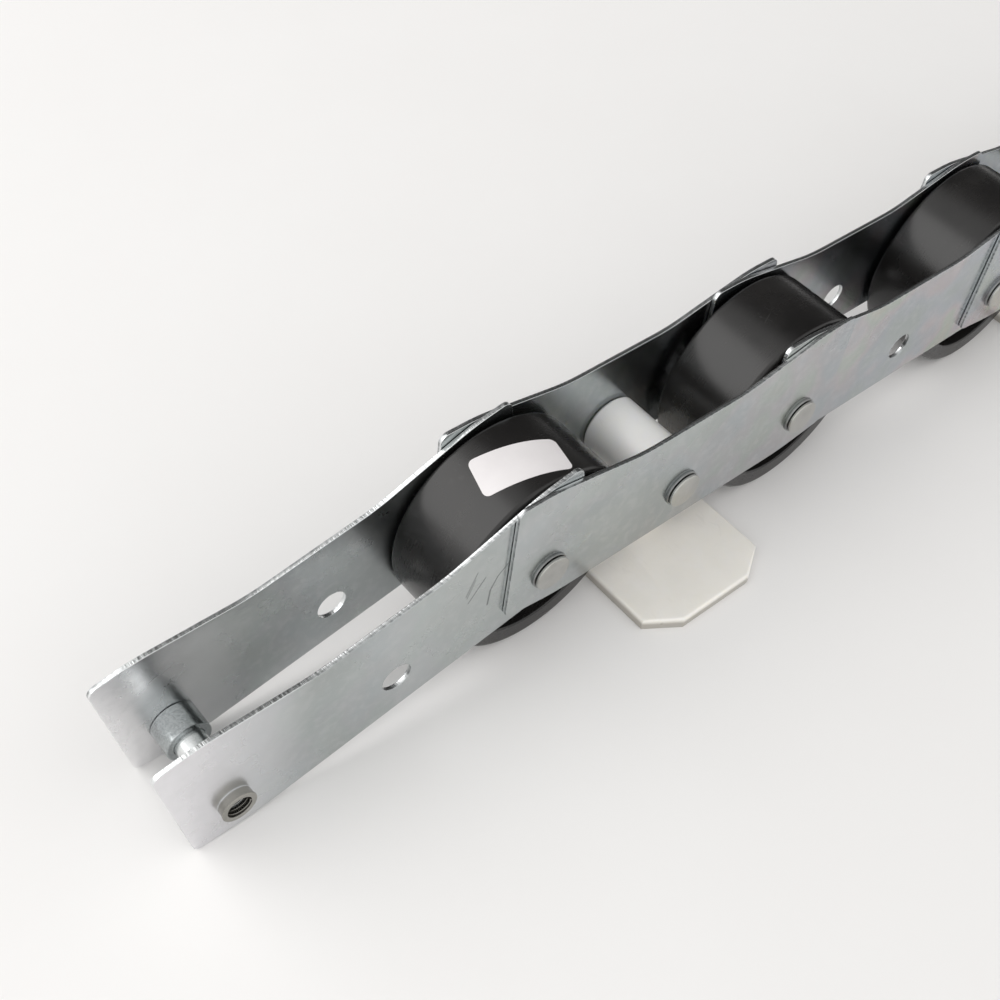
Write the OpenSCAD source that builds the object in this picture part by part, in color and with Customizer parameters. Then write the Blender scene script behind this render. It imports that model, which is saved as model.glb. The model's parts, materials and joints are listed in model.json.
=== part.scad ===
// Escalator guide chain. Five links of paired sheet-steel plates turn on headed pins, a ball-bearing
// roller runs on every joint, and a moulded shoe hangs under each outer link. The chain lies on a floor:
// its rollers and shoes stand on it, and the two free end links droop until their corners touch it.
// Millimetres. +X runs along the chain, +Y towards the rear plates, +Z up. The origin is on the floor
// under the middle of the centre link.

/* [Chain] */
// Distance between neighbouring joint pins
pitch = 135; // [125:1:160]
// Width over the two plates of an inner link
inner_w = 40; // [38:0.5:46]
// Gap between an inner plate and the outer plate beside it
plate_gap = 0.2; // [0.1:0.05:0.5]

/* [Link plates] */
// Thickness of the sheet
plate_t = 1.8; // [1.5:0.1:3]
// Length of a plate beyond its pin axis
end_l = 19; // [17:0.2:24]
// Height of the raised ends above the pin axis
end_top = 43.5; // [40:0.5:48]
// Height of the waist above the pin axis
waist_top = 35.5; // [28:0.5:38]
// Depth of the straight bottom edge below the pin axis
plate_drop = 18.2; // [16:0.2:24]
// Rise of the bottom edge towards each end
heel_rise = 3.8; // [1:0.2:6]
// Length of that rising part at each end
heel_l = 25; // [16:0.5:32]
// Length of the flat waist
waist_l = 53; // [40:1:60]
// Length of the flat top at each end
shoulder_l = 17; // [14:0.5:26]
// Size of the four rounded corners
corner_r = 3.5; // [2:0.5:6]
// Length of the soft bend on each side of a kink in the top or bottom edge
bend_l = 7; // [2:0.5:9]

/* [Pins and washers] */
// Diameter of every pin's shank
pin_d = 12; // [10:0.5:13]
// Radial clearance of a pin in a plate's hole
hole_clear = 0.1; // [0.05:0.01:0.1]
// Diameter of a pin's flat head
head_d = 15; // [14:0.5:18]
// Thickness of a pin's flat head
head_t = 1.7; // [1:0.1:2.5]
// Chamfer round both rims of a head
head_edge = 0.4; // [0.1:0.05:0.45]
// Diameter of the washer under a head
washer_d = 16; // [14.5:0.5:20]
// Thickness of the washer under a head
washer_t = 1; // [0.6:0.1:1.6]

/* [Sleeves] */
// Outside diameter of the spacer sleeves
sleeve_d = 17.5; // [15:0.5:18]
// Radial clearance of a sleeve on its pin
sleeve_clear = 0.1; // [0.05:0.01:0.2]
// Play at each end of a sleeve
side_play = 0.1; // [0.05:0.01:0.2]
// Chamfer round a sleeve's rims
sleeve_edge = 0.4; // [0.1:0.1:0.6]

/* [Rollers] */
// Diameter over the tread
roller_d = 84; // [78:0.5:86]
// Width of the tread
roller_w = 34.4; // [30:0.2:35]
// Radius of the tread's rounded edges
tread_edge = 2; // [0.5:0.25:3]
// Thickness of the rim under the tread
rim_t = 8.5; // [6:0.5:12]
// Width of the web between rim and hub
web_w = 11; // [8:0.5:15]
// Wall of the hub round the bearing
hub_wall = 5; // [3:0.5:7]
// Width of the lip that holds the bearing in on each side
lip_w = 1.6; // [1:0.1:2]
// Height of that lip over the bearing's outer ring
lip_h = 1.4; // [0.8:0.1:1.8]
// Clearance of the bearing in its seat
seat_clear = 0.03; // [0.01:0.01:0.05]

/* [Ball bearing] */
// Outside diameter
bearing_d = 32; // [30:0.5:35]
// Width
bearing_w = 14; // [12:0.5:15]
// Radial clearance of the inner ring on the pin
bore_clear = 0.03; // [0.01:0.01:0.05]
// Diameter of a ball
ball_d = 5.95; // [5:0.05:6]
// Number of balls
ball_n = 7; // [5:1:8]
// Gap between a ball and its race or pocket
race_gap = 0.25; // [0.2:0.01:0.3]
// Distance of each ring's land from the circle of the balls
land_gap = 1.75; // [1.6:0.05:1.9]
// Thickness of the cage
cage_t = 1.8; // [1.4:0.1:2]
// Width of the cage
cage_w = 8.4; // [8:0.1:9]
// Thickness of a seal
seal_t = 0.8; // [0.5:0.1:1]
// Depth of a seal behind the bearing's face
seal_set = 0.3; // [0.1:0.05:0.5]
// Depth of the groove in the outer ring that holds a seal
seal_groove = 0.7; // [0.4:0.05:0.9]
// Gap between a seal's lip and the inner ring
seal_gap = 0.15; // [0.1:0.01:0.3]

/* [Guide shoes] */
// Diameter of the hub on the guide pin
hub_d = 26; // [20:0.5:30]
// Play of the hub between the outer plates on each side
hub_play = 0.4; // [0.2:0.05:0.8]
// Radial clearance of the hub on its pin
hub_clear = 0.1; // [0.05:0.01:0.1]
// Chamfer round the hub's rims
hub_edge = 1; // [0.5:0.1:2]
// Thickness of the neck along the chain
neck_t = 14; // [10:0.5:18]
// Width of the neck across the chain
neck_w = 34; // [28:0.5:38]
// Radius of the fillet where the neck meets the foot
neck_fillet = 5; // [2:0.5:8]
// Length of the foot along the chain
foot_l = 64.5; // [50:0.5:70]
// Width of the foot across the chain
foot_w = 105; // [90:1:115]
// Thickness of the foot
foot_t = 5; // [4:0.5:8]
// Corner cut of the foot along the chain
foot_cut_l = 14; // [8:0.5:18]
// Corner cut of the foot across the chain
foot_cut_w = 9; // [6:0.5:14]

/* [End pins] */
// Diameter of the projecting head
end_head_d = 12.8; // [12.6:0.1:15]
// Length of the projecting head
end_head_l = 3.6; // [2:0.2:6]
// Diameter of the lip at the head's end
end_lip_d = 13.4; // [13:0.1:16]
// Thickness of the lip
end_lip_t = 0.7; // [0.4:0.1:1.2]
// Diameter of the tapped hole
tap_d = 8.5; // [6:0.1:9]
// Depth of the tapped hole
tap_depth = 18; // [10:1:24]
// Diameter of the countersink at the tapped hole's mouth
tap_sink_d = 9.4; // [9:0.1:11]

/* [Hidden] */
$fn = 64;
links = [1:5];
joints = [1:4];
guides = [1:2];
ends = [1:2];
sides = ["front", "rear"];
middle_link = 3;

// Radii and half widths
pin_r = pin_d / 2;
head_r = head_d / 2;
hole_d = pin_d + 2 * hole_clear;
roller_r = roller_d / 2;
bearing_r = bearing_d / 2;
inner_half = inner_w / 2;
inner_face = inner_half - plate_t;
outer_face = inner_half + plate_gap;
outer_half = outer_face + plate_t;
pin_half = outer_half + washer_t + head_t;

// Bearing and sleeve
ball_r = ball_d / 2;
ball_circle_r = (pin_r + bearing_r) / 2;
inner_land_r = ball_circle_r - land_gap;
outer_land_r = ball_circle_r + land_gap;
seal_y = bearing_w / 2 - seal_set - seal_t;
sleeve_y = bearing_w / 2 + side_play;
sleeve_l = inner_face - side_play - sleeve_y;

// Plate outline, seen from the front: x along the plate, y up from the pin axis
half_l = pitch / 2 + end_l;
slope_x = half_l - shoulder_l;
waist_x = waist_l / 2;
heel = [half_l - heel_l, -plate_drop];
low_corner = [half_l, heel_rise - plate_drop];
bend_steps = 6;
lower_edge = concat(
    soft_bend([0, -plate_drop], heel, low_corner, bend_l),
    soft_bend(heel, low_corner, [half_l, end_top], corner_r)
);

// Angle by which a free end link droops: the first point of its lower edge to reach the floor touches it
droop = min([for (p = lower_edge) floor_angle([pitch / 2 + p.x, p.y])]);

zinc = [0.74, 0.76, 0.77];
bright_steel = [0.83, 0.83, 0.80];
bearing_steel = [0.68, 0.69, 0.71];
black_nylon = [0.13, 0.13, 0.13];
white_nylon = [0.93, 0.92, 0.87];
seal_rubber = [0.08, 0.08, 0.09];
cage_nylon = [0.55, 0.50, 0.38];

NODES = concat(
    [for (k = links) for (side = sides) str("link_", k, "_", side, "_plate")],
    [for (j = joints) str("joint_pin_", j)],
    [for (j = joints) str("joint_washers_", j)],
    [for (j = joints) str("joint_sleeves_", j)],
    [for (j = joints) str("bearing_inner_ring_", j)],
    [for (j = joints) str("bearing_outer_ring_", j)],
    [for (j = joints) str("bearing_balls_", j)],
    [for (j = joints) str("bearing_cage_", j)],
    [for (j = joints) str("bearing_seals_", j)],
    [for (j = joints) str("roller_", j)],
    [for (g = guides) str("guide_shoe_", g)],
    [for (g = guides) str("guide_pin_", g)],
    [for (g = guides) str("guide_washers_", g)],
    [for (e = ends) str("end_pin_", e)],
    [for (e = ends) str("end_sleeves_", e)]
);
node = "all";

function shown(name) = node == "all" || node == name;
function is_outer(k) = k % 2 == 0;
function unit(v) = v / norm(v);

// Angle by which a point seen from a joint's axis turns down until it is as low as the rollers
function floor_angle(p) = asin(roller_r / norm(p)) + atan2(p.y, p.x);

// Points of a soft bend of length l on each side of b, on the way from a to c
function soft_bend(a, b, c, l) =
    let (p = b + l * unit(a - b), q = b + l * unit(c - b))
    [for (i = [0:bend_steps]) let (s = i / bend_steps)
        (1 - s) * (1 - s) * p + 2 * s * (1 - s) * b + s * s * q];

function mirrored(points) = [for (i = [len(points) - 1:-1:0]) [-points[i].x, points[i].y]];

// Turns a shape made about Z onto a pin's axis, with its +Z end to the front
module on_pin_axis() {
    rotate([90, 0, 0])
        children();
}

// Frame of a link: origin at its middle hole, drooping at the two ends of the chain
module in_link(k) {
    side = sign(k - middle_link);
    turn = abs(k - middle_link) == 2 ? side * droop : 0;
    hinge_x = (k - middle_link) * pitch - side * pitch / 2;
    translate([hinge_x, 0, roller_r])
        rotate([0, turn, 0])
            translate([side * pitch / 2, 0, 0])
                children();
}

// Frame of joint j, with +Z along the pin to the front
module at_joint(j) {
    translate([(j - 2.5) * pitch, 0, roller_r])
        on_pin_axis()
            children();
}

// Frame of guide g, at the middle hole of its outer link
module at_guide(g) {
    in_link(2 * g)
        children();
}

// Frame of the free end pin at end e, with +Z along the pin to the front
module at_end(e) {
    k = e == 1 ? 1 : 5;
    in_link(k)
        translate([sign(k - middle_link) * pitch / 2, 0, 0])
            on_pin_axis()
                children();
}

// Plate outline: flat ends, a sloping shoulder down to a waist, a bottom that rises to its ends, round corners
module plate_outline() {
    end_point = [half_l, end_top];
    shoulder = [slope_x, end_top];
    waist = [waist_x, waist_top];
    centre = [0, waist_top];
    right = concat(
        lower_edge,
        [[half_l, end_top - corner_r], [half_l - corner_r, end_top]],
        soft_bend(end_point, shoulder, waist, bend_l),
        soft_bend(shoulder, waist, centre, bend_l)
    );
    polygon(concat(right, mirrored(right)));
    for (x = [-1, 1])
        translate([x * (half_l - corner_r), end_top - corner_r])
            circle(r = corner_r);
}

module link_plate(k, side) {
    near = is_outer(k) ? outer_face : inner_face;
    far = is_outer(k) ? outer_half : inner_half;
    color(zinc)
        in_link(k)
            translate([0, side == "front" ? -near : far, 0])
                rotate([90, 0, 0])
                    linear_extrude(plate_t)
                        difference() {
                            plate_outline();
                            for (x = [-pitch / 2, 0, pitch / 2])
                                translate([x, 0])
                                    circle(d = hole_d);
                        }
}

// Outline of a flat pin head in section, from its outer face at height top down to the shank
function head_outline(top) = [
    [head_r - head_edge, top], [head_r, top - head_edge], [head_r, top - head_t + head_edge],
    [head_r - head_edge, top - head_t], [pin_r, top - head_t]
];

function flipped(points) = [for (i = [len(points) - 1:-1:0]) [points[i].x, -points[i].y]];

// Pin headed over its washers at both ends
module headed_pin() {
    head = head_outline(pin_half);
    color(bright_steel)
        rotate_extrude()
            polygon(concat([[0, pin_half]], head, flipped(head), [[0, -pin_half]]));
}

module washer_pair() {
    color(zinc)
        for (s = [0, 1])
            mirror([0, 0, s])
                translate([0, 0, outer_half])
                    linear_extrude(washer_t)
                        difference() {
                            circle(d = washer_d);
                            circle(d = hole_d);
                        }
}

// Two spacer sleeves, which leave the width of a bearing free between them
module sleeve_pair() {
    bore_r = pin_r + sleeve_clear;
    sleeve_r = sleeve_d / 2;
    color(bright_steel)
        for (s = [0, 1])
            mirror([0, 0, s])
                translate([0, 0, sleeve_y])
                    rotate_extrude()
                        polygon([
                            [bore_r, 0], [sleeve_r - sleeve_edge, 0], [sleeve_r, sleeve_edge],
                            [sleeve_r, sleeve_l - sleeve_edge], [sleeve_r - sleeve_edge, sleeve_l],
                            [bore_r, sleeve_l]
                        ]);
}

module race_section() {
    translate([ball_circle_r, 0])
        circle(r = ball_r + race_gap);
}

module bearing_inner_ring() {
    bore_r = pin_r + bore_clear;
    color(bearing_steel)
        rotate_extrude()
            difference() {
                translate([bore_r, -bearing_w / 2])
                    square([inner_land_r - bore_r, bearing_w]);
                race_section();
            }
}

module bearing_outer_ring() {
    color(bearing_steel)
        rotate_extrude()
            difference() {
                translate([outer_land_r, -bearing_w / 2])
                    square([bearing_r - outer_land_r, bearing_w]);
                race_section();
                for (s = [0, 1])
                    mirror([0, s])
                        translate([0, seal_y])
                            square([outer_land_r + seal_groove, bearing_w]);
            }
}

module place_balls() {
    for (i = [0:ball_n - 1])
        rotate([0, 0, i * 360 / ball_n])
            translate([ball_circle_r, 0, 0])
                children();
}

module bearing_balls() {
    color(bright_steel)
        place_balls()
            sphere(d = ball_d);
}

// Cage: a ring with a round pocket drilled through it for each ball
module bearing_cage() {
    color(cage_nylon)
        difference() {
            rotate_extrude()
                translate([ball_circle_r - cage_t / 2, -cage_w / 2])
                    square([cage_t, cage_w]);
            place_balls()
                rotate([0, 90, 0])
                    cylinder(r = ball_r + race_gap, h = 2 * cage_t, center = true);
        }
}

module bearing_seals() {
    lip_r = inner_land_r + seal_gap;
    color(seal_rubber)
        for (s = [0, 1])
            mirror([0, 0, s])
                rotate_extrude()
                    translate([lip_r, seal_y])
                        square([outer_land_r + seal_groove - lip_r, seal_t]);
}

// Rim in section, with rounded edges to the tread
module rim_section() {
    rim_in = roller_r - rim_t;
    translate([rim_in, -roller_w / 2])
        square([rim_t - tread_edge, roller_w]);
    translate([rim_in, tread_edge - roller_w / 2])
        square([rim_t, roller_w - 2 * tread_edge]);
    for (s = [-1, 1])
        translate([roller_r - tread_edge, s * (roller_w / 2 - tread_edge)])
            circle(r = tread_edge);
}

// Roller: a wide rim on a web, moulded round the bearing with a lip on each side of it
module roller() {
    hub_r = bearing_r + hub_wall;
    hub_w = bearing_w + 2 * (seat_clear + lip_w);
    seat_r = bearing_r + seat_clear;
    seat_w = bearing_w + 2 * seat_clear;
    lip_r = bearing_r - lip_h;
    color(black_nylon)
        rotate_extrude()
            difference() {
                union() {
                    rim_section();
                    translate([lip_r, -web_w / 2])
                        square([roller_r - rim_t / 2 - lip_r, web_w]);
                    translate([lip_r, -hub_w / 2])
                        square([hub_r - lip_r, hub_w]);
                }
                translate([0, -seat_w / 2])
                    square([seat_r, seat_w]);
            }
}

// Foot of the guide shoe: a flat slab with its corners cut off
module foot_outline() {
    x = foot_l / 2;
    y = foot_w / 2;
    polygon([
        [x, foot_cut_w - y], [x, y - foot_cut_w], [x - foot_cut_l, y], [foot_cut_l - x, y],
        [-x, y - foot_cut_w], [-x, foot_cut_w - y], [foot_cut_l - x, -y], [x - foot_cut_l, -y]
    ]);
}

// Neck in section across the pin: straight sides that flare into the foot and reach halfway down into it
module neck_section() {
    foot_top = foot_t - roller_r;
    low = foot_t / 2 - roller_r;
    flare = neck_t / 2 + neck_fillet;
    translate([-neck_t / 2, low])
        square([neck_t, -low]);
    difference() {
        translate([-flare, low])
            square([2 * flare, foot_top + neck_fillet - low]);
        for (s = [-1, 1])
            translate([s * flare, foot_top + neck_fillet])
                circle(r = neck_fillet);
    }
}

// Guide shoe: hub on the guide pin, neck between the plates and foot on the floor, in one moulding
module guide_shoe() {
    hub_r = hub_d / 2;
    hub_half = outer_face - hub_play;
    color(white_nylon)
        difference() {
            union() {
                on_pin_axis()
                    rotate_extrude()
                        polygon([
                            [0, -hub_half], [hub_r - hub_edge, -hub_half], [hub_r, hub_edge - hub_half],
                            [hub_r, hub_half - hub_edge], [hub_r - hub_edge, hub_half], [0, hub_half]
                        ]);
                translate([0, neck_w / 2, 0])
                    rotate([90, 0, 0])
                        linear_extrude(neck_w)
                            neck_section();
                translate([0, 0, -roller_r])
                    linear_extrude(foot_t)
                        foot_outline();
            }
            on_pin_axis()
                cylinder(r = pin_r + hub_clear, h = 2 * outer_half, center = true);
        }
}

// End pin: flat head at the rear, lipped head with a tapped hole at the front
module end_pin() {
    top = inner_half + end_head_l;
    rear = inner_half + head_t;
    head_half = end_head_d / 2;
    lip_r = end_lip_d / 2;
    sink_r = tap_sink_d / 2;
    tap_r = tap_d / 2;
    hole = [[0, top - tap_depth], [tap_r, top - tap_depth], [tap_r, top - (sink_r - tap_r)], [sink_r, top]];
    lipped_head = [
        [lip_r, top], [lip_r, top - end_lip_t], [head_half, top - end_lip_t],
        [head_half, inner_half], [pin_r, inner_half]
    ];
    color(bright_steel)
        rotate_extrude()
            polygon(concat(hole, lipped_head, flipped(head_outline(rear)), [[0, -rear]]));
}

for (k = links, side = sides) {
    if (shown(str("link_", k, "_", side, "_plate"))) link_plate(k, side);
}
for (j = joints) {
    if (shown(str("joint_pin_", j))) at_joint(j) headed_pin();
    if (shown(str("joint_washers_", j))) at_joint(j) washer_pair();
    if (shown(str("joint_sleeves_", j))) at_joint(j) sleeve_pair();
    if (shown(str("bearing_inner_ring_", j))) at_joint(j) bearing_inner_ring();
    if (shown(str("bearing_outer_ring_", j))) at_joint(j) bearing_outer_ring();
    if (shown(str("bearing_balls_", j))) at_joint(j) bearing_balls();
    if (shown(str("bearing_cage_", j))) at_joint(j) bearing_cage();
    if (shown(str("bearing_seals_", j))) at_joint(j) bearing_seals();
    if (shown(str("roller_", j))) at_joint(j) roller();
}
for (g = guides) {
    if (shown(str("guide_shoe_", g))) at_guide(g) guide_shoe();
    if (shown(str("guide_pin_", g))) at_guide(g) on_pin_axis() headed_pin();
    if (shown(str("guide_washers_", g))) at_guide(g) on_pin_axis() washer_pair();
}
for (e = ends) {
    if (shown(str("end_pin_", e))) at_end(e) end_pin();
    if (shown(str("end_sleeves_", e))) at_end(e) sleeve_pair();
}
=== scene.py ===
import json
import math

import bmesh
import bpy
from mathutils import Matrix, Vector


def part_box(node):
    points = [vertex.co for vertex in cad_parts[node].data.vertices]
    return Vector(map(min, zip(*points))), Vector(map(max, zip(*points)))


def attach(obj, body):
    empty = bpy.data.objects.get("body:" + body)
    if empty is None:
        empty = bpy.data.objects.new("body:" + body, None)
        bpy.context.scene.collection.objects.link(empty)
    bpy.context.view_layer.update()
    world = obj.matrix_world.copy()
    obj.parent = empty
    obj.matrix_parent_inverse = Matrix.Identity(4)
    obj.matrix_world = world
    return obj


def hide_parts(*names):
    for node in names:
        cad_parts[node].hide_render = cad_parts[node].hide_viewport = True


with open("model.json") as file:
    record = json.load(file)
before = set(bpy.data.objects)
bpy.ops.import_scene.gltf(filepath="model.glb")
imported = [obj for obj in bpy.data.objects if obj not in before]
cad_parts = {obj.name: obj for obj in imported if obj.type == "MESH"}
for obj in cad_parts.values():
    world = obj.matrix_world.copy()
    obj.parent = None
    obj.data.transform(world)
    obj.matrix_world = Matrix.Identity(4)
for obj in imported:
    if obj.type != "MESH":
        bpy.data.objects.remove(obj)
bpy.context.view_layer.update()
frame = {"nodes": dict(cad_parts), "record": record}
MM = 0.001

# Ball bearings: ground steel rings and balls, a moulded nylon cage and two rubber seals.
# They come as finished bearings and sit hidden inside the rollers, so they stay as the
# frame's own solids and only get their finishes here.


def surface(name, **shader):
    made = bpy.data.materials.new(name)
    made.use_nodes = True
    principled = made.node_tree.nodes["Principled BSDF"]
    for socket, value in shader.items():
        principled.inputs[socket.replace("_", " ")].default_value = value
    return made


def add(tree, kind, feeds, **settings):
    made = tree.nodes.new("ShaderNode" + kind)
    for name, value in settings.items():
        setattr(made, name, value)
    for socket, value in feeds.items():
        if isinstance(value, bpy.types.NodeSocket):
            tree.links.new(value, made.inputs[socket])
        else:
            made.inputs[socket].default_value = value
    return made


def mixed(tree, share, first, second):
    return add(tree, "MixRGB", {"Fac": share, "Color1": first, "Color2": second}).outputs["Color"]


def ranged(tree, value, start, stop, low, high):
    feeds = {"Value": value, "From Min": start, "From Max": stop, "To Min": low, "To Max": high}
    return add(tree, "MapRange", feeds).outputs["Result"]


def noise(tree, vector, scale, detail):
    feeds = {"Vector": vector, "Scale": scale, "Detail": detail, "Roughness": 0.6}
    return add(tree, "TexNoise", feeds).outputs[0]


def math_of(tree, operation, first, second, third=0.0):
    return add(tree, "Math", {0: first, 1: second, 2: third}, operation=operation).outputs[0]


def feed(material, height, depth, **sockets):
    tree = material.node_tree
    principled = tree.nodes["Principled BSDF"]
    for socket, value in sockets.items():
        tree.links.new(value, principled.inputs[socket.replace("_", " ")])
    bump = add(tree, "Bump", {"Height": height, "Strength": 1.0, "Distance": depth})
    tree.links.new(bump.outputs["Normal"], principled.inputs["Normal"])


handling = bpy.data.node_groups.new("handling_marks", "ShaderNodeTree")
handling.interface.new_socket("Vector", in_out="INPUT", socket_type="NodeSocketVector")
handling.interface.new_socket("Scale", in_out="INPUT", socket_type="NodeSocketFloat")
for mark in ("Smudge", "Hairline", "Grain"):
    handling.interface.new_socket(mark, in_out="OUTPUT", socket_type="NodeSocketFloat")
inlet = handling.nodes.new("NodeGroupInput")
outlet = handling.nodes.new("NodeGroupOutput")
spread = add(handling, "VectorMath", {0: inlet.outputs["Vector"]}, operation="SCALE")
handling.links.new(inlet.outputs["Scale"], spread.inputs["Scale"])
spread = spread.outputs["Vector"]
smudge = ranged(handling, noise(handling, spread, 1.0, 6.0), 0.32, 0.68, 0.0, 1.0)
patches = ranged(handling, noise(handling, spread, 1.3, 2.0), 0.52, 0.72, 0.0, 1.0)
swirl = add(handling, "TexNoise", {"Vector": spread, "Scale": 0.8, "Detail": 1.0}).outputs["Color"]
swirl = add(handling, "VectorMath", {0: swirl, 1: (0.6, 0.6, 0.6), 2: spread}, operation="MULTIPLY_ADD")
hairline = None
for lean in (0.45, -0.8):
    turned_to = add(handling, "Mapping", {"Vector": swirl.outputs[0], "Rotation": (0.0, lean, 0.3 * lean)})
    drawn = add(handling, "Mapping", {"Vector": turned_to.outputs[0], "Scale": (0.9, 6.0, 55.0)})
    line = ranged(handling, noise(handling, drawn.outputs[0], 1.0, 0.0), 0.68, 0.78, 0.0, 1.0)
    if hairline is None:
        hairline = line
    else:
        hairline = math_of(handling, "MAXIMUM", hairline, line)
hairline = math_of(handling, "MULTIPLY", hairline, patches)
handling.links.new(smudge, outlet.inputs["Smudge"])
handling.links.new(hairline, outlet.inputs["Hairline"])
handling.links.new(noise(handling, spread, 45.0, 3.0), outlet.inputs["Grain"])


def handled(tree, scale):
    coords = add(tree, "TexCoord", {}).outputs["Object"]
    marks = add(tree, "Group", {}, node_tree=handling)
    tree.links.new(coords, marks.inputs["Vector"])
    marks.inputs["Scale"].default_value = scale
    return coords, marks.outputs["Smudge"], marks.outputs["Hairline"], marks.outputs["Grain"]


bearing_steel = surface("ground_bearing_steel", Metallic=1.0)
tree = bearing_steel.node_tree
_, smudge, _, grain = handled(tree, 90.0)
tone = mixed(tree, smudge, (0.58, 0.58, 0.59, 1), (0.72, 0.72, 0.71, 1))
feed(bearing_steel, grain, 0.00001, Base_Color=tone, Roughness=ranged(tree, smudge, 0, 1, 0.12, 0.24))

cage_nylon = surface("cage_nylon", Subsurface_Weight=0.1, Subsurface_Scale=0.002)
tree = cage_nylon.node_tree
_, smudge, _, grain = handled(tree, 120.0)
tone = mixed(tree, smudge, (0.60, 0.50, 0.34, 1), (0.74, 0.66, 0.50, 1))
feed(cage_nylon, grain, 0.00003, Base_Color=tone, Roughness=ranged(tree, grain, 0, 1, 0.38, 0.55))

seal_rubber = surface("seal_rubber")
tree = seal_rubber.node_tree
_, smudge, _, grain = handled(tree, 110.0)
tone = mixed(tree, smudge, (0.016, 0.016, 0.017, 1), (0.045, 0.043, 0.041, 1))
feed(seal_rubber, grain, 0.00004, Base_Color=tone, Roughness=ranged(tree, smudge, 0, 1, 0.5, 0.72))

for j in range(1, 5):
    for ring in ("inner_ring", "outer_ring", "balls"):
        frame["nodes"][f"bearing_{ring}_{j}"].material_slots[0].material = bearing_steel
    frame["nodes"][f"bearing_cage_{j}"].material_slots[0].material = cage_nylon
    frame["nodes"][f"bearing_seals_{j}"].material_slots[0].material = seal_rubber

# Rollers: wide barrels of black nylon, moulded round their bearings and then turned.
# The tool leaves faint rings on the tread and a soft round on both of its edges.
WELD = 0.000002


def axis_of(node):
    low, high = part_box(node)
    return (low.x + high.x) / 2, (low.z + high.z) / 2


def spun(bm, corners, x, z, steps, closed):
    ring = [bm.verts.new((x + r * MM, y * MM, z)) for r, y, soft in corners]
    pairs = list(zip(ring, ring[1:]))
    if closed:
        pairs.append((ring[-1], ring[0]))
    for pair in pairs:
        bm.edges.new(pair)
    for corner, (r, y, soft) in zip(ring, corners):
        if soft:
            bmesh.ops.bevel(
                bm, geom=[corner], offset=soft * MM, offset_type="OFFSET", segments=5,
                profile=0.5, affect="VERTICES", material=-1,
            )
    bmesh.ops.spin(
        bm, geom=bm.verts[:] + bm.edges[:], cent=(x, 0, z), axis=(0, 1, 0), dvec=(0, 0, 0),
        angle=math.tau, steps=steps, use_merge=True,
    )
    bmesh.ops.remove_doubles(bm, verts=bm.verts, dist=WELD)
    bmesh.ops.recalc_face_normals(bm, faces=bm.faces)


def piece_from(bm, name, x, z):
    lathe = bm.verts.layers.float_vector.new("lathe")
    for vert in bm.verts:
        vert[lathe] = Vector((math.hypot(vert.co.x - x, vert.co.z - z), vert.co.y, 0))
    for face in bm.faces:
        face.smooth = True
    mesh = bpy.data.meshes.new(name)
    bm.to_mesh(mesh)
    bm.free()
    made = bpy.data.objects.new(name, mesh)
    bpy.context.scene.collection.objects.link(made)
    made.modifiers.new("even_normals", "WEIGHTED_NORMAL").keep_sharp = True
    return made


lathe_marks = bpy.data.node_groups.new("lathe_marks", "ShaderNodeTree")
lathe_marks.interface.new_socket("Lathe", in_out="INPUT", socket_type="NodeSocketVector")
lathe_marks.interface.new_socket("Vector", in_out="INPUT", socket_type="NodeSocketVector")
lathe_marks.interface.new_socket("Fineness", in_out="INPUT", socket_type="NodeSocketFloat")
lathe_marks.interface.new_socket("Rings", in_out="OUTPUT", socket_type="NodeSocketFloat")
inlet = lathe_marks.nodes.new("NodeGroupInput")
outlet = lathe_marks.nodes.new("NodeGroupOutput")
feed_rate = add(lathe_marks, "VectorMath", {0: inlet.outputs["Lathe"]}, operation="SCALE")
lathe_marks.links.new(inlet.outputs["Fineness"], feed_rate.inputs["Scale"])
rings = noise(lathe_marks, feed_rate.outputs["Vector"], 1.0, 4.0)
fading = ranged(lathe_marks, noise(lathe_marks, inlet.outputs["Vector"], 60.0, 2.0), 0.3, 0.7, 0.2, 1.0)
rings = math_of(lathe_marks, "SUBTRACT", rings, 0.5)
rings = math_of(lathe_marks, "MULTIPLY_ADD", rings, fading, 0.5)
lathe_marks.links.new(rings, outlet.inputs["Rings"])


def ringed(tree, coords, fineness):
    along = add(tree, "Attribute", {}, attribute_name="lathe").outputs["Vector"]
    marks = add(tree, "Group", {}, node_tree=lathe_marks)
    tree.links.new(along, marks.inputs["Lathe"])
    tree.links.new(coords, marks.inputs["Vector"])
    marks.inputs["Fineness"].default_value = fineness
    return marks.outputs["Rings"]


black_nylon = surface("black_nylon", Specular_IOR_Level=0.5)
tree = black_nylon.node_tree
coords, smudge, hairline, _ = handled(tree, 45.0)
rings = ringed(tree, coords, 900.0)
tone = mixed(tree, smudge, (0.0095, 0.009, 0.0088, 1), (0.017, 0.016, 0.0155, 1))
tone = mixed(tree, ranged(tree, hairline, 0, 1, 0, 0.3), tone, (0.06, 0.06, 0.058, 1))
turned = ranged(tree, rings, 0, 1, -0.05, 0.05)
rough = math_of(tree, "ADD", ranged(tree, smudge, 0, 1, 0.22, 0.30), turned)
feed(black_nylon, rings, 0.00005, Base_Color=tone, Roughness=rough)

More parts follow.
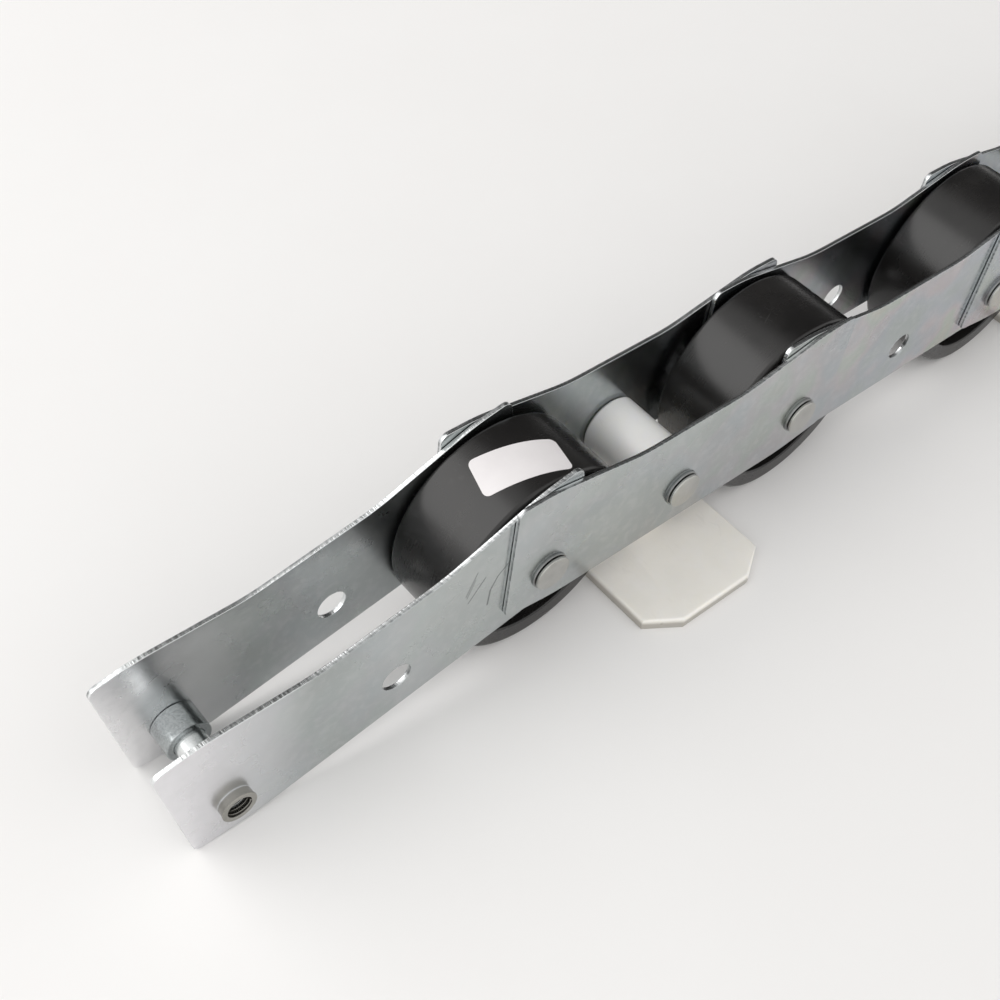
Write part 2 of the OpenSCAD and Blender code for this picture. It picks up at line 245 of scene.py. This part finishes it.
barrel = [
    (42, -17.2, 2.0), (33.5, -17.2, 0.8), (33.5, -5.5, 1.2), (21, -5.5, 0.8), (21, -8.63, 0.4),
    (14.6, -8.63, 0.3), (14.6, -7.03, 0), (16.03, -7.03, 0), (16.03, 7.03, 0), (14.6, 7.03, 0),
    (14.6, 8.63, 0.3), (21, 8.63, 0.4), (21, 5.5, 0.8), (33.5, 5.5, 1.2), (33.5, 17.2, 0.8),
    (42, 17.2, 2.0),
]
for j in range(1, 5):
    x, z = axis_of(f"roller_{j}")
    bm = bmesh.new()
    spun(bm, barrel, x, z, 144, True)
    made = piece_from(bm, f"roller_barrel_{j}", x, z)
    made.data.materials.append(black_nylon)
    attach(made, f"roller_{j}")
    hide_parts(f"roller_{j}")

# Spacer sleeves of the joints: short lengths of bright steel tube, parted off on a lathe.
# They sit between the bearing and the inner plates, out of sight, as the frame's solids.
hidden_sleeve_steel = surface("parted_sleeve_steel", Metallic=1.0)
tree = hidden_sleeve_steel.node_tree
_, smudge, _, grain = handled(tree, 70.0)
tone = mixed(tree, smudge, (0.50, 0.49, 0.47, 1), (0.66, 0.65, 0.63, 1))
feed(hidden_sleeve_steel, grain, 0.00002, Base_Color=tone, Roughness=ranged(tree, smudge, 0, 1, 0.2, 0.36))
for j in range(1, 5):
    frame["nodes"][f"joint_sleeves_{j}"].material_slots[0].material = hidden_sleeve_steel

# Link plates: sheet steel sheared to one outline, punched with three holes and zinc plated.
# The plating is a cloudy blue white with a faint rainbow; the sheared rims are toothed and torn.
SHARP = 0.6


def sheared(node, name, edge):
    bm = bmesh.new()
    bm.from_mesh(frame["nodes"][node].data)
    bmesh.ops.remove_doubles(bm, verts=bm.verts, dist=WELD)
    bmesh.ops.dissolve_limit(bm, angle_limit=0.01, verts=bm.verts, edges=bm.edges)
    sharp = [e for e in bm.edges if e.calc_face_angle(0) > SHARP]
    bmesh.ops.bevel(
        bm, geom=sharp, offset=edge, offset_type="OFFSET", segments=2, profile=0.5,
        affect="EDGES", material=-1, clamp_overlap=False,
    )
    bm.normal_update()
    near = min(abs(v.co.y) for v in bm.verts)
    far = max(abs(v.co.y) for v in bm.verts)
    across = bm.verts.layers.float.new("across")
    for vert in bm.verts:
        vert[across] = (abs(vert.co.y) - near) / (far - near)
    for face in bm.faces:
        face.smooth = True
        face.material_index = 0 if abs(face.normal.y) > 0.8 else 1
    mesh = bpy.data.meshes.new(name)
    bm.to_mesh(mesh)
    bm.free()
    made = bpy.data.objects.new(name, mesh)
    bpy.context.scene.collection.objects.link(made)
    made.modifiers.new("even_normals", "WEIGHTED_NORMAL").keep_sharp = True
    return made


scratch = bpy.data.node_groups.new("drawn_scratch", "ShaderNodeTree")
for end in ("Vector", "Start", "Stop"):
    scratch.interface.new_socket(end, in_out="INPUT", socket_type="NodeSocketVector")
scratch.interface.new_socket("Width", in_out="INPUT", socket_type="NodeSocketFloat")
scratch.interface.new_socket("Scratch", in_out="OUTPUT", socket_type="NodeSocketFloat")
inlet = scratch.nodes.new("NodeGroupInput")
outlet = scratch.nodes.new("NodeGroupOutput")
start = inlet.outputs["Start"]
flat = add(scratch, "VectorMath", {0: inlet.outputs["Vector"], 1: (1, 0, 1)}, operation="MULTIPLY")
from_start = add(scratch, "VectorMath", {0: flat.outputs[0], 1: start}, operation="SUBTRACT").outputs[0]
stroke = add(scratch, "VectorMath", {0: inlet.outputs["Stop"], 1: start}, operation="SUBTRACT").outputs[0]
reach = add(scratch, "VectorMath", {0: from_start, 1: stroke}, operation="DOT_PRODUCT").outputs["Value"]
whole = add(scratch, "VectorMath", {0: stroke, 1: stroke}, operation="DOT_PRODUCT").outputs["Value"]
share = add(scratch, "Math", {0: reach, 1: whole}, operation="DIVIDE", use_clamp=True).outputs[0]
foot = add(scratch, "VectorMath", {0: stroke}, operation="SCALE")
scratch.links.new(share, foot.inputs["Scale"])
away = add(scratch, "VectorMath", {0: from_start, 1: foot.outputs[0]}, operation="DISTANCE")
depth = math_of(scratch, "DIVIDE", away.outputs["Value"], inlet.outputs["Width"])
scratch.links.new(ranged(scratch, depth, 0.25, 1.0, 1.0, 0.0), outlet.inputs["Scratch"])

zinc_face = surface("zinc_plating", Metallic=1.0)
tree = zinc_face.node_tree
coords, smudge, hairline, grain = handled(tree, 30.0)
place = add(tree, "SeparateXYZ", {"Vector": coords})
cloud = noise(tree, coords, 11.0, 3.0)
film = add(tree, "ValToRGB", {"Fac": noise(tree, coords, 24.0, 2.0)})
film.color_ramp.elements[0].position = 0.34
film.color_ramp.elements[0].color = (0.45, 0.50, 0.49, 1)
film.color_ramp.elements[1].position = 0.66
film.color_ramp.elements[1].color = (0.57, 0.54, 0.44, 1)
bands = ((0.44, (0.46, 0.49, 0.55, 1)), (0.52, (0.60, 0.50, 0.53, 1)), (0.58, (0.49, 0.545, 0.46, 1)))
for position, colour in bands:
    film.color_ramp.elements.new(position).color = colour
clouded = ranged(tree, cloud, 0.38, 0.62, 0, 1)
plain = mixed(tree, clouded, (0.385, 0.415, 0.420, 1), (0.520, 0.555, 0.558, 1))
rainbow = ranged(tree, place.outputs["X"], -0.16, 0.06, 0.10, 0.70)
tone = mixed(tree, rainbow, plain, film.outputs["Color"])
from_middle = math_of(tree, "ABSOLUTE", place.outputs["X"], 0.0)
# Towards the free ends the plate faces are painted pale, palest on the rear plates' inner faces: a painted
# reflection of the brightly lit floor there.
free_end_painted_light = ranged(tree, from_middle, 305 * MM, 345 * MM, 0.0, 0.95)
rear_inside = 18.2 * MM
rear_inner_painted_light = math_of(tree, "COMPARE", place.outputs["Y"], rear_inside, 0.5 * MM)
painted_pale_reflection = mixed(tree, rear_inner_painted_light, (0.83, 0.822, 0.845, 1), (0.97, 0.965, 0.975, 1))
tone = mixed(tree, free_end_painted_light, tone, painted_pale_reflection)
tone = mixed(tree, ranged(tree, smudge, 0, 1, 0.0, 0.16), tone, (0.34, 0.35, 0.355, 1))
flecks = ranged(tree, noise(tree, coords, 260.0, 4.0), 0.48, 0.66, 0.0, 0.22)
tone = mixed(tree, flecks, tone, (0.66, 0.67, 0.67, 1))
tone = mixed(tree, ranged(tree, hairline, 0, 1, 0, 0.05), tone, (0.80, 0.81, 0.81, 1))
bore = next(m for m in frame["record"]["mounts"] if m["name"] == "link_1_middle_bore")["pos_m"]
pin_x, pin_z = axis_of("joint_pin_1")
slope = math.atan2(pin_z - bore[2], pin_x - bore[0])
scuffs = None
strokes = (
    ((38.4, 27.3), (32.3, 17.8), 0.35), ((41.3, 21.1), (32.8, 13.0), 0.4),
    ((37.2, 24.0), (32.6, 16.4), 0.3), ((51.1, 19.4), (46.4, 16.4), 0.45),
    ((46.4, 16.4), (42.6, 11.2), 0.55), ((42.6, 11.2), (40.6, 3.4), 0.6),
)
for start, stop, width in strokes:
    mark = add(tree, "Group", {}, node_tree=scratch)
    tree.links.new(coords, mark.inputs["Vector"])
    for socket, (u, w) in (("Start", start), ("Stop", stop)):
        across_x = bore[0] + (u * math.cos(slope) - w * math.sin(slope)) * MM
        across_z = bore[2] + (u * math.sin(slope) + w * math.cos(slope)) * MM
        mark.inputs[socket].default_value = (across_x, 0, across_z)
    mark.inputs["Width"].default_value = width * MM
    if scuffs is None:
        scuffs = mark.outputs["Scratch"]
    else:
        scuffs = math_of(tree, "MAXIMUM", scuffs, mark.outputs["Scratch"])
front_outside = -20 * MM
inner_front = math_of(tree, "COMPARE", place.outputs["Y"], front_outside, 0.15 * MM)
scuffs = math_of(tree, "MULTIPLY", scuffs, inner_front)
tone = mixed(tree, ranged(tree, scuffs, 0, 1, 0, 0.75), tone, (0.10, 0.11, 0.11, 1))
dulled = ranged(tree, cloud, 0.35, 0.65, 0.0, 0.05)
rough = math_of(tree, "ADD", ranged(tree, smudge, 0, 1, 0.17, 0.27), dulled)
feed(zinc_face, grain, 0.000004, Base_Color=tone, Roughness=rough)

zinc_rim = surface("sheared_rim", Metallic=1.0)
tree = zinc_rim.node_tree
coords = add(tree, "TexCoord", {}).outputs["Object"]
across = add(tree, "Attribute", {}, attribute_name="across").outputs["Fac"]
level = math_of(tree, "ABSOLUTE", add(tree, "SeparateXYZ", {"Vector": coords}).outputs["Y"], 0.0)
inner_plate_top = 20 * MM
outer = ranged(tree, level, inner_plate_top, inner_plate_top + 0.2 * MM, 0.0, 1.0)
teeth = add(tree, "Mapping", {"Vector": coords, "Scale": (1.0, 0.15, 1.0)}).outputs[0]
teeth = ranged(tree, noise(tree, teeth, 800.0, 3.0), 0.36, 0.62, 0.0, 1.0)
rubbed = ranged(tree, noise(tree, coords, 16.0, 2.0), 0.46, 0.58, 0.8, 0.0)
rubbed = math_of(tree, "MAXIMUM", rubbed, math_of(tree, "MULTIPLY", outer, 0.85))
torn = math_of(tree, "MULTIPLY", ranged(tree, across, 0.30, 0.62, 0.0, 1.0), rubbed)
rough_patch = mixed(tree, teeth, (0.13, 0.138, 0.14, 1), (0.46, 0.475, 0.48, 1))
tone = mixed(tree, torn, (0.78, 0.80, 0.805, 1), rough_patch)
feed(zinc_rim, teeth, 0.00005, Base_Color=tone, Roughness=ranged(tree, torn, 0, 1, 0.22, 0.45))

rim_round = 0.22 * MM
for k in range(1, 6):
    for side in ("front", "rear"):
        made = sheared(f"link_{k}_{side}_plate", f"link_{k}_{side}_sheet", rim_round)
        made.data.materials.append(zinc_face)
        made.data.materials.append(zinc_rim)
        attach(made, f"link_{k}")
        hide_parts(f"link_{k}_{side}_plate")

# Joint pins and washers: bright steel pins pushed through the plates and headed over a
# plated washer at each end. The heads are ground flat, with a soft chamfer and a groove below.
turned_steel = surface("turned_steel", Metallic=1.0)
tree = turned_steel.node_tree
coords, smudge, hairline, _ = handled(tree, 80.0)
rings = ringed(tree, coords, 2600.0)
tone = mixed(tree, smudge, (0.40, 0.395, 0.375, 1), (0.55, 0.55, 0.525, 1))
tone = mixed(tree, ranged(tree, hairline, 0, 1, 0, 0.3), tone, (0.25, 0.24, 0.23, 1))
depth = add(tree, "SeparateXYZ", {"Vector": coords}).outputs["Y"]
depth = math_of(tree, "ABSOLUTE", depth, 0.0)
# The neck between each head and its washer, and the hidden shank, are painted nearly black: painted shade
# in the groove.
groove_shade = ranged(tree, depth, 23.35 * MM, 23.6 * MM, 0.85, 0.0)
tone = mixed(tree, groove_shade, tone, (0.03, 0.03, 0.029, 1))
turned = ranged(tree, rings, 0.2, 0.8, -0.04, 0.05)
rough = math_of(tree, "ADD", ranged(tree, smudge, 0, 1, 0.13, 0.24), turned)
feed(turned_steel, rings, 0.00002, Base_Color=tone, Roughness=rough)

washer_zinc = surface("washer_zinc", Metallic=1.0)
tree = washer_zinc.node_tree
coords, smudge, _, _ = handled(tree, 95.0)
rings = ringed(tree, coords, 1500.0)
tone = mixed(tree, smudge, (0.22, 0.225, 0.225, 1), (0.40, 0.405, 0.40, 1))
feed(washer_zinc, rings, 0.00003, Base_Color=tone, Roughness=ranged(tree, smudge, 0, 1, 0.24, 0.38))


def headed_pin(name, node, body):
    x, z = axis_of(node)
    bm = bmesh.new()
    shank = [
        (0, -24.7, 0), (7.5, -24.7, 0.5), (7.5, -23.5, 0.2), (6.8, -23.5, 0), (6.8, -23, 0),
        (6, -23, 0), (6, 23, 0),
        (6.8, 23, 0), (6.8, 23.5, 0), (7.5, 23.5, 0.2), (7.5, 24.7, 0.5), (0, 24.7, 0),
    ]
    spun(bm, shank, x, z, 96, False)
    made = piece_from(bm, name, x, z)
    made.data.materials.append(turned_steel)
    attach(made, body)
    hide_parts(node)


def washers(name, node, body):
    x, z = axis_of(node)
    bm = bmesh.new()
    spun(bm, [(6.1, -23, 0.1), (8, -23, 0.3), (8, -22, 0.15), (6.1, -22, 0.1)], x, z, 96, True)
    bmesh.ops.mirror(bm, geom=bm.verts[:] + bm.edges[:] + bm.faces[:], axis="Y", merge_dist=-1)
    bmesh.ops.recalc_face_normals(bm, faces=bm.faces)
    made = piece_from(bm, name, x, z)
    made.data.materials.append(washer_zinc)
    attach(made, body)
    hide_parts(node)


for j in range(1, 5):
    body = "link_2" if j < 3 else "link_4"
    headed_pin(f"joint_pin_turned_{j}", f"joint_pin_{j}", body)
    washers(f"joint_washer_pair_{j}", f"joint_washers_{j}", body)

# Guide shoes: white nylon, each moulded in one piece with a hub, a neck and an octagonal foot.
# The hub hangs on a pin between the outer plates and the foot runs on the track. The neck is
# drawn narrower than in the solids, because none of it shows below the front plate.
glow = (1.0, 0.9, 0.7)
white_nylon = surface(
    "white_nylon", Subsurface_Weight=0.25, Subsurface_Scale=0.004, Subsurface_Radius=glow,
)
tree = white_nylon.node_tree
coords, smudge, hairline, grain = handled(tree, 34.0)
height = add(tree, "SeparateXYZ", {"Vector": coords}).outputs["Z"]
worn_tint_and_side_shade = mixed(tree, smudge, (0.92, 0.895, 0.85, 1), (0.86, 0.835, 0.78, 1))
clean = mixed(tree, smudge, (0.93, 0.93, 0.92, 1), (0.90, 0.90, 0.885, 1))
# The foot's side faces below its top are painted dark: painted shade on the sides turned away from the
# light, over the foot's worn tint.
foot_side_shade = ranged(tree, height, 2.5 * MM, 4.7 * MM, 0.85, 0.0)
worn_tint_and_side_shade = mixed(tree, foot_side_shade, worn_tint_and_side_shade, (0.33, 0.31, 0.275, 1))
above_foot = ranged(tree, height, 8 * MM, 30 * MM, 0, 1)
tone = mixed(tree, above_foot, worn_tint_and_side_shade, clean)
tone = mixed(tree, ranged(tree, hairline, 0, 1, 0, 0.18), tone, (0.6, 0.59, 0.56, 1))
feed(white_nylon, grain, 0.00002, Base_Color=tone, Roughness=ranged(tree, smudge, 0, 1, 0.26, 0.38))
solid_neck = 17 * MM
shown_neck = 11.5 * MM
foot_top = 5 * MM
foot_round = 1.3 * MM
edge_round = 0.5 * MM
close_to = 0.05 * MM
for g in (1, 2):
    bm = bmesh.new()
    bm.from_mesh(frame["nodes"][f"guide_shoe_{g}"].data)
    bmesh.ops.remove_doubles(bm, verts=bm.verts, dist=WELD)
    bmesh.ops.dissolve_limit(bm, angle_limit=0.01, verts=bm.verts, edges=bm.edges)
    for vert in bm.verts:
        if abs(abs(vert.co.y) - solid_neck) < close_to:
            vert.co.y *= shown_neck / solid_neck
    sharp = [e for e in bm.edges if e.is_convex and e.calc_face_angle(0) > SHARP]
    foot_rim = [e for e in sharp if all(abs(v.co.z - foot_top) < close_to for v in e.verts)]
    bmesh.ops.bevel(
        bm, geom=foot_rim, offset=foot_round, offset_type="OFFSET", segments=4, profile=0.5,
        affect="EDGES", material=-1, clamp_overlap=True,
    )
    sharp = [e for e in bm.edges if e.is_convex and e.calc_face_angle(0) > SHARP]
    bmesh.ops.bevel(
        bm, geom=sharp, offset=edge_round, offset_type="OFFSET", segments=3, profile=0.5,
        affect="EDGES", material=-1, clamp_overlap=True,
    )
    x, z = axis_of(f"guide_pin_{g}")
    made = piece_from(bm, f"guide_shoe_moulded_{g}", x, z)
    made.data.materials.append(white_nylon)
    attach(made, f"guide_{g}")
    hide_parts(f"guide_shoe_{g}")

# Guide pins and washers: the same headed pins as in the joints, through the middle holes of
# the outer plates. They hold the guide shoes.
for g in (1, 2):
    headed_pin(f"guide_pin_turned_{g}", f"guide_pin_{g}", f"link_{2 * g}")
    washers(f"guide_washer_pair_{g}", f"guide_washers_{g}", f"link_{2 * g}")

# End pins and sleeves: at each free end a bright steel pin with a lipped head, tapped for the
# screw of the next length of chain, and two plated spacer sleeves that wait for its roller.
plated_sleeve = surface("plated_sleeve", Metallic=1.0)
tree = plated_sleeve.node_tree
coords, smudge, _, _ = handled(tree, 70.0)
speckle = ranged(tree, noise(tree, coords, 1100.0, 3.0), 0.40, 0.66, 0.0, 1.0)
tone = mixed(tree, ranged(tree, speckle, 0, 1, 0, 0.4), (0.40, 0.425, 0.43, 1), (0.15, 0.165, 0.165, 1))
feed(plated_sleeve, speckle, 0.00003, Base_Color=tone, Roughness=ranged(tree, smudge, 0, 1, 0.08, 0.16))

end_steel = surface("end_pin_steel", Metallic=1.0)
tree = end_steel.node_tree
coords, smudge, _, _ = handled(tree, 80.0)
rings = ringed(tree, coords, 2600.0)
radius = add(tree, "Attribute", {}, attribute_name="lathe").outputs["Vector"]
radius = add(tree, "SeparateXYZ", {"Vector": radius}).outputs["X"]
tone = mixed(tree, smudge, (0.27, 0.265, 0.24, 1), (0.38, 0.37, 0.34, 1))
depth = add(tree, "SeparateXYZ", {"Vector": coords}).outputs["Y"]
shank = ranged(tree, depth, -20.5 * MM, -20 * MM, 0.0, 1.0)
tone = mixed(tree, shank, tone, (0.68, 0.70, 0.70, 1))
# Inside the tapped hole the steel is painted darker: painted shade in the recess.
recess_shade = ranged(tree, radius, 4.6 * MM, 4.9 * MM, 0.5, 0.0)
tone = mixed(tree, recess_shade, tone, (0.10, 0.097, 0.09, 1))
turned = ranged(tree, rings, 0.2, 0.8, -0.04, 0.05)
rough = math_of(tree, "ADD", ranged(tree, smudge, 0, 1, 0.16, 0.28), turned)
feed(end_steel, rings, 0.00002, Base_Color=tone, Roughness=rough)
for e in (1, 2):
    x, z = axis_of(f"end_pin_{e}")
    bm = bmesh.new()
    lipped = [
        (0, -5.6, 0), (4.6, -5.6, 0), (4.6, -23.4, 0), (4.8, -23.6, 0.08), (6.7, -23.6, 0.25),
        (6.7, -22.9, 0.2), (6.4, -22.9, 0.1), (6.4, -20, 0), (6, -20, 0), (6, 20, 0), (7.5, 20, 0.4),
        (7.5, 21.7, 0.5), (0, 21.7, 0),
    ]
    spun(bm, lipped, x, z, 96, False)
    thread = bmesh.new()
    tooth = ((4.7, -23.5), (3.95, -22.85), (4.7, -22.2))
    ridge = [thread.verts.new((x + r * MM, y * MM, z)) for r, y in tooth]
    for pair in zip(ridge, ridge[1:] + ridge[:1]):
        thread.edges.new(pair)
    pitch = 1.5 * MM
    turn_count = 10
    steps_each = 36
    bmesh.ops.spin(
        thread, geom=thread.verts[:] + thread.edges[:], cent=(x, 0, z), axis=(0, 1, 0),
        dvec=(0, pitch / steps_each, 0), angle=math.tau * turn_count, steps=turn_count * steps_each,
    )
    bmesh.ops.holes_fill(thread, edges=thread.edges, sides=3)
    bmesh.ops.recalc_face_normals(thread, faces=thread.faces)
    turns = bpy.data.meshes.new("thread_turns")
    thread.to_mesh(turns)
    thread.free()
    bm.from_mesh(turns)
    made = piece_from(bm, f"end_pin_turned_{e}", x, z)
    made.data.materials.append(end_steel)
    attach(made, "link_1" if e == 1 else "link_5")
    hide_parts(f"end_pin_{e}")

    bm = bmesh.new()
    tube = [(6.1, -18.1, 0.2), (8.75, -18.1, 0.4), (8.75, -7.1, 0.4), (6.1, -7.1, 0.2)]
    spun(bm, tube, x, z, 96, True)
    bmesh.ops.mirror(bm, geom=bm.verts[:] + bm.edges[:] + bm.faces[:], axis="Y", merge_dist=-1)
    bmesh.ops.recalc_face_normals(bm, faces=bm.faces)
    made = piece_from(bm, f"end_sleeve_pair_{e}", x, z)
    made.data.materials.append(plated_sleeve)
    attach(made, "link_1" if e == 1 else "link_5")
    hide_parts(f"end_sleeves_{e}")

# Paper label: a small blank sticker with round corners, pressed onto the first roller's tread
# at a slant. It is thin coated paper.
half_long = 17 * MM
half_wide = 8 * MM
corner_round = 2.4 * MM
slant = math.radians(-16.2)
tread = 42.03 * MM
back = 2.3 * MM
forward = 2.5 * MM
x, z = axis_of("roller_1")
bm = bmesh.new()
corners = [bm.verts.new((u * half_long, v * half_wide, 0)) for u, v in ((-1, -1), (1, -1), (1, 1), (-1, 1))]
bm.faces.new(corners)
bmesh.ops.bevel(
    bm, geom=corners, offset=corner_round, offset_type="OFFSET", segments=6, profile=0.5,
    affect="VERTICES", material=-1,
)
bmesh.ops.rotate(bm, verts=bm.verts, cent=(0, 0, 0), matrix=Matrix.Rotation(slant, 3, "Z"))
for cut in range(-20, 21):
    bmesh.ops.bisect_plane(
        bm, geom=bm.verts[:] + bm.edges[:] + bm.faces[:], plane_co=(cut * MM, 0, 0), plane_no=(1, 0, 0),
        dist=0.0000001,
    )
for vert in bm.verts:
    round_by = (vert.co.x - back) / tread
    vert.co = (x + tread * math.sin(round_by), vert.co.y - forward, z + tread * math.cos(round_by))
bmesh.ops.recalc_face_normals(bm, faces=bm.faces)
mesh = bpy.data.meshes.new("blank_label")
bm.to_mesh(mesh)
bm.free()
label = bpy.data.objects.new("blank_label", mesh)
bpy.context.scene.collection.objects.link(label)
thicken = label.modifiers.new("paper", "SOLIDIFY")
thicken.thickness = 0.09 * MM
thicken.offset = 1.0
paper = surface("coated_paper")
tree = paper.node_tree
_, smudge, _, grain = handled(tree, 60.0)
tone = mixed(tree, smudge, (0.77, 0.745, 0.75, 1), (0.72, 0.695, 0.70, 1))
feed(paper, grain, 0.00001, Base_Color=tone, Roughness=ranged(tree, grain, 0, 1, 0.4, 0.55))
label.data.materials.append(paper)
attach(label, "roller_1")

# Floor, light and camera: the chain lies on a plain pale table in a bright room that is darker
# to the upper right, with a soft window at the left rear, seen from the front left and above.
floor_mesh = bpy.data.meshes.new("floor")
bm = bmesh.new()
bmesh.ops.create_grid(bm, x_segments=1, y_segments=1, size=15.0)
bm.to_mesh(floor_mesh)
bm.free()
floor = bpy.data.objects.new("floor", floor_mesh)
bpy.context.scene.collection.objects.link(floor)
table = surface("pale_table", Roughness=0.6)
tree = table.node_tree
_, smudge, _, grain = handled(tree, 6.0)
tone = mixed(tree, smudge, (0.885, 0.877, 0.871, 1), (0.87, 0.86, 0.853, 1))
feed(table, grain, 0.00002, Base_Color=tone)
floor.data.materials.append(table)

world = bpy.data.worlds.new("studio")
bpy.context.scene.world = world
world.use_nodes = True
sky = world.node_tree
toward = add(sky, "TexCoord", {}).outputs["Generated"]
dark_corner = (0.65, 0.55, 0.52)
bright_side = (-0.17, -0.13, 0.0)
shaded = add(sky, "VectorMath", {0: toward, 1: dark_corner}, operation="DOT_PRODUCT").outputs["Value"]
shaded = ranged(sky, shaded, 0.73, 0.86, 1.0, 0.06)
sided = add(sky, "VectorMath", {0: toward, 1: bright_side}, operation="DOT_PRODUCT").outputs["Value"]
bright = math_of(sky, "ADD", sided, 1.01)
sky.links.new(math_of(sky, "MULTIPLY", bright, shaded), sky.nodes["Background"].inputs["Strength"])
sky.nodes["Background"].inputs["Color"].default_value = (1.0, 0.995, 0.985, 1)

panel = bpy.data.lights.new("window", "AREA")
panel.shape = "DISK"
panel.size = 1.8
panel.energy = 12
panel.color = (1.0, 0.99, 0.98)
window = bpy.data.objects.new("window", panel)
window.location = (-1.15, 0.95, 1.05)
window.rotation_euler = (-Vector(window.location)).to_track_quat("-Z", "Y").to_euler()
bpy.context.scene.collection.objects.link(window)

lens = bpy.data.cameras.new("camera")
lens.lens = 50.116
lens.sensor_width = 36
camera = bpy.data.objects.new("camera", lens)
camera.location = (-0.44021, -0.22321, 0.43435)
camera.rotation_euler = (math.radians(40.667), math.radians(-5.149), math.radians(-39.953))
bpy.context.scene.collection.objects.link(camera)
bpy.context.scene.camera = camera
bpy.context.scene.view_settings.view_transform = "Standard"
